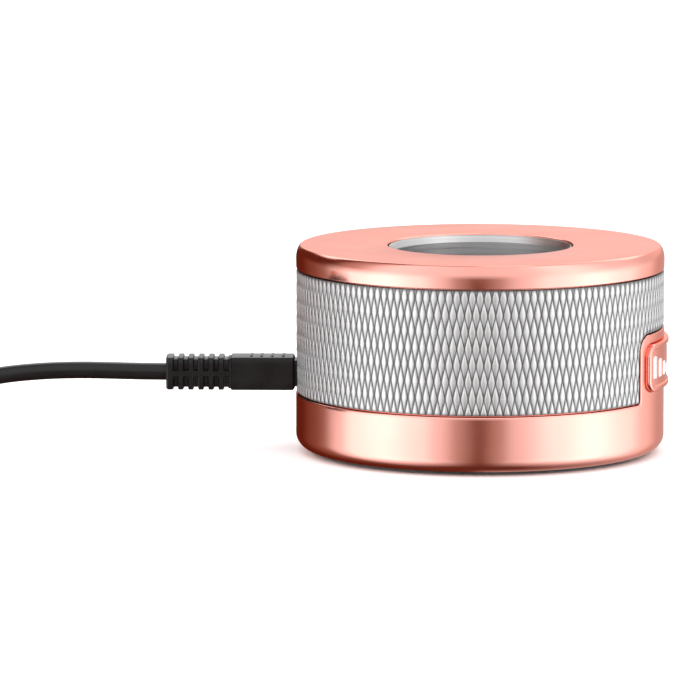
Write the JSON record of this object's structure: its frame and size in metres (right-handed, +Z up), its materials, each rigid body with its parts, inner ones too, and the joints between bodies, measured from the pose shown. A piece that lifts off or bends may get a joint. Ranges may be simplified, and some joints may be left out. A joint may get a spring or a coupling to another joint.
{
  "type": "trimmer charging base",
  "caption": "Round metal charging base for a cordless hair trimmer: knurled band, deep steel well with sprung contacts, raised badge, and a power lead that plugs into the back.",
  "frame": {"origin": "centre of the round base, on the table under its feet", "axes": "+Z up out of the well; -Y towards the badge; +Y the way the power lead leaves"},
  "size_m": [0.0908, 0.3261, 0.0506],
  "materials": {
    "rose_gold": "polished rose gold plating",
    "silver_knurl": "bright silver, embossed with a fine diamond knurl",
    "brushed_steel": "brushed round the axis",
    "black_plastic": "fine moulded grain",
    "circuit_board": "green solder mask",
    "black_rubber": "matte",
    "screw_steel": "nickel plated",
    "contact_metal": "gold plated",
    "copper": "enamelled copper winding",
    "red_wire": "PVC",
    "black_wire": "PVC",
    "cord_black": "satin PVC",
    "adapter_plastic": "fine moulded grain"
  },
  "bodies": {
    "base": {"top_cap": "rose_gold", "lower_shell": "rose_gold", "badge": "rose_gold", "grip_band": "silver_knurl", "well_cup": "brushed_steel", "ballast_ring": "brushed_steel", "chassis": "black_plastic", "contact_block": "black_plastic", "base_plate": "black_plastic", "inlet_socket": "black_plastic", "charge_controller": "black_plastic", "circuit_board": "circuit_board", "foot_1": "black_rubber", "foot_2": "black_rubber", "foot_3": "black_rubber", "foot_4": "black_rubber", "base_screw_1": "screw_steel", "base_screw_2": "screw_steel", "base_screw_3": "screw_steel", "base_screw_4": "screw_steel", "cap_screw_1": "screw_steel", "cap_screw_2": "screw_steel", "cap_screw_3": "screw_steel", "board_screw_1": "screw_steel", "board_screw_2": "screw_steel", "contact_spring_left": "screw_steel", "contact_spring_right": "screw_steel", "smoothing_capacitor": "screw_steel", "contact_barrel_left": "contact_metal", "contact_barrel_right": "contact_metal", "inlet_pin_left": "contact_metal", "inlet_pin_right": "contact_metal", "choke": "copper", "inlet_wire_left": "red_wire", "inlet_wire_right": "black_wire"},
    "contact_left": {"contact_pin_left": "contact_metal"},
    "contact_right": {"contact_pin_right": "contact_metal"},
    "plug": {"plug_body": "cord_black", "plug_strain_relief": "cord_black", "cord_lead": "cord_black", "cord_coil": "cord_black", "adapter_strain_relief": "cord_black", "cord_tie": "black_rubber", "plug_contact_left": "contact_metal", "plug_contact_right": "contact_metal", "adapter_front_shell": "adapter_plastic", "adapter_back_shell": "adapter_plastic", "adapter_blade_left": "screw_steel", "adapter_blade_right": "screw_steel", "adapter_board": "circuit_board", "adapter_transformer": "copper"}
  },
  "joints": [
    {"name": "contact_left_press", "type": "slide", "parent": "base", "child": "contact_left", "axis": [0, 0, 1], "range_m": [-0.0015, 0], "stiffness_N_per_m": 200, "springref_m": 0.001, "deforming": ["contact_spring_left"]},
    {"name": "contact_right_press", "type": "slide", "parent": "base", "child": "contact_right", "axis": [0, 0, 1], "range_m": [-0.0015, 0], "stiffness_N_per_m": 200, "springref_m": 0.001, "deforming": ["contact_spring_right"]},
    {"name": "plug_pull", "type": "slide", "parent": "base", "child": "plug", "axis": [0, 1, 0], "range_m": [0, 0.012]}
  ]
}
